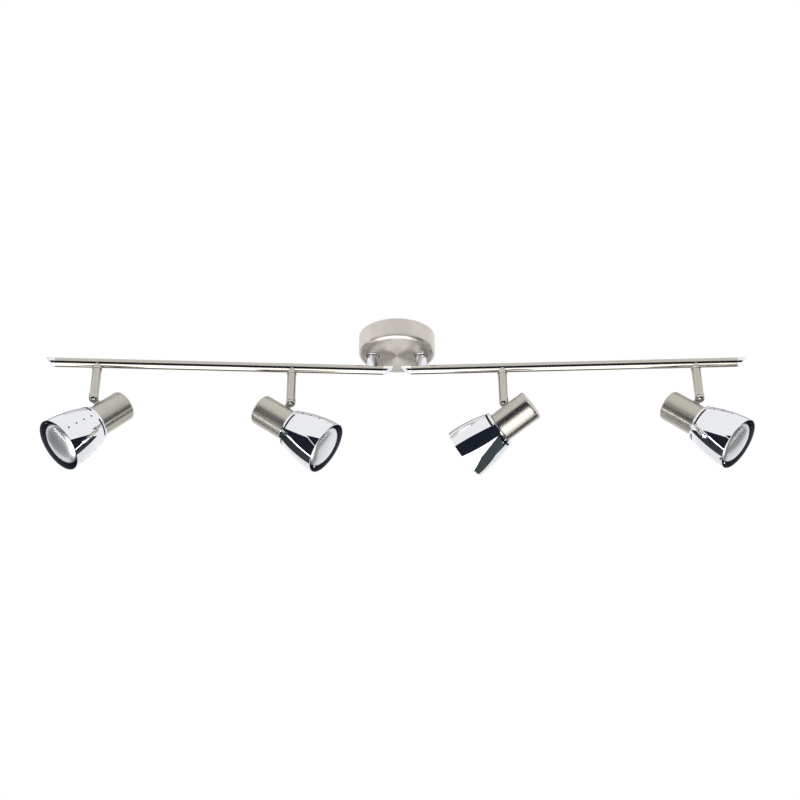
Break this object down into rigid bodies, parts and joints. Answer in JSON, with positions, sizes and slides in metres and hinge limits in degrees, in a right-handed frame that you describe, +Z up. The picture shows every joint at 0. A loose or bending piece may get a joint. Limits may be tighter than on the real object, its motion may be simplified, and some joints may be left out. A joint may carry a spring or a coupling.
{
  "type": "track lighting fixture",
  "caption": "Ceiling fixture: a round brushed canopy with swivelling bars, each carrying swivelling stems that hold tilting spotlight heads with flared mirror shades and reflector lamps.",
  "frame": {"origin": "centre of the mounting plane, where the bracket and the canopy's rim meet the ceiling", "axes": "+Z up into the ceiling, +X along the bars, +Y to the back"},
  "size_m": [1.0496, 0.147, 0.2292],
  "materials": {
    "satin_nickel": "satin nickel plate, brushed",
    "polished_chrome": "mirror chrome plate",
    "zinc_steel": "bright zinc plate",
    "green_screw": "green dyed zinc",
    "lamp_glass": "frosted face with a silvered reflector behind it",
    "lamp_cap": "rolled screw shell",
    "socket_body": "black phenolic moulding",
    "terminal_nylon": "natural nylon",
    "wire_jacket": "black silicone"
  },
  "bodies": {
    "canopy": {"canopy_shell": "satin_nickel", "mounting_bracket": "zinc_steel", "ground_screw": "green_screw", "terminal_block": "terminal_nylon", "canopy_screw_left": "zinc_steel", "supply_lead_left": "wire_jacket", "post_flange_left": "polished_chrome", "canopy_screw_right": "zinc_steel", "supply_lead_right": "wire_jacket", "post_flange_right": "polished_chrome"},
    "left_bar": {"left_bar_tube": "satin_nickel", "left_post": "polished_chrome", "left_post_nut": "zinc_steel", "left_bar_wires": "wire_jacket", "left_outer_cap": "polished_chrome", "left_inner_cap": "polished_chrome", "stem_collar_1": "satin_nickel", "stem_collar_2": "satin_nickel"},
    "right_bar": {"right_bar_tube": "satin_nickel", "right_post": "polished_chrome", "right_post_nut": "zinc_steel", "right_bar_wires": "wire_jacket", "right_outer_cap": "polished_chrome", "right_inner_cap": "polished_chrome", "stem_collar_3": "satin_nickel", "stem_collar_4": "satin_nickel"},
    "arm_1": {"stem_1": "satin_nickel", "pivot_screw_1": "satin_nickel"},
    "head_1": {"lug_1": "zinc_steel", "cup_1": "satin_nickel", "socket_1": "socket_body", "shade_1": "polished_chrome", "lamp_glass_1": "lamp_glass", "lamp_base_1": "lamp_cap"},
    "arm_2": {"stem_2": "satin_nickel", "pivot_screw_2": "satin_nickel"},
    "head_2": {"lug_2": "zinc_steel", "cup_2": "satin_nickel", "socket_2": "socket_body", "shade_2": "polished_chrome", "lamp_glass_2": "lamp_glass", "lamp_base_2": "lamp_cap"},
    "arm_3": {"stem_3": "satin_nickel", "pivot_screw_3": "satin_nickel"},
    "head_3": {"lug_3": "zinc_steel", "cup_3": "satin_nickel", "socket_3": "socket_body", "shade_3": "polished_chrome", "lamp_glass_3": "lamp_glass", "lamp_base_3": "lamp_cap"},
    "arm_4": {"stem_4": "satin_nickel", "pivot_screw_4": "satin_nickel"},
    "head_4": {"lug_4": "zinc_steel", "cup_4": "satin_nickel", "socket_4": "socket_body", "shade_4": "polished_chrome", "lamp_glass_4": "lamp_glass", "lamp_base_4": "lamp_cap"}
  },
  "joints": [
    {"name": "left_bar_swivel", "type": "hinge", "parent": "canopy", "child": "left_bar", "pos_m": [-0.0365, 0, -0.0563], "axis": [0, 0, 1], "range_deg": [-90, 90]},
    {"name": "right_bar_swivel", "type": "hinge", "parent": "canopy", "child": "right_bar", "pos_m": [0.0365, 0, -0.0563], "axis": [0, 0, 1], "range_deg": [-90, 90]},
    {"name": "stem_1_swivel", "type": "hinge", "parent": "left_bar", "child": "arm_1", "pos_m": [-0.44669, -0.02581, -0.1148], "axis": [0, 0, 1], "range_deg": [-170, 170]},
    {"name": "head_1_tilt", "type": "hinge", "parent": "arm_1", "child": "head_1", "pos_m": [-0.44669, -0.02581, -0.1148], "axis": [-0.518, 0.8554, 0], "range_deg": [-43.6, 44.4]},
    {"name": "stem_2_swivel", "type": "hinge", "parent": "left_bar", "child": "arm_2", "pos_m": [-0.15826, -0.00766, -0.1148], "axis": [0, 0, 1], "range_deg": [-170, 170]},
    {"name": "head_2_tilt", "type": "hinge", "parent": "arm_2", "child": "head_2", "pos_m": [-0.15826, -0.00766, -0.1148], "axis": [-0.1323, -0.9912, 0], "range_deg": [-53, 35]},
    {"name": "stem_3_swivel", "type": "hinge", "parent": "right_bar", "child": "arm_3", "pos_m": [0.1584, -0.0049, -0.1148], "axis": [0, 0, 1], "range_deg": [-170, 170]},
    {"name": "head_3_tilt", "type": "hinge", "parent": "arm_3", "child": "head_3", "pos_m": [0.1584, -0.0049, -0.1148], "axis": [0.4695, 0.8829, 0], "range_deg": [-61, 27]},
    {"name": "stem_4_swivel", "type": "hinge", "parent": "right_bar", "child": "arm_4", "pos_m": [0.44717, -0.01649, -0.1148], "axis": [0, 0, 1], "range_deg": [-170, 170]},
    {"name": "head_4_tilt", "type": "hinge", "parent": "arm_4", "child": "head_4", "pos_m": [0.44717, -0.01649, -0.1148], "axis": [-0.4179, -0.9085, 0], "range_deg": [-46, 42]}
  ]
}
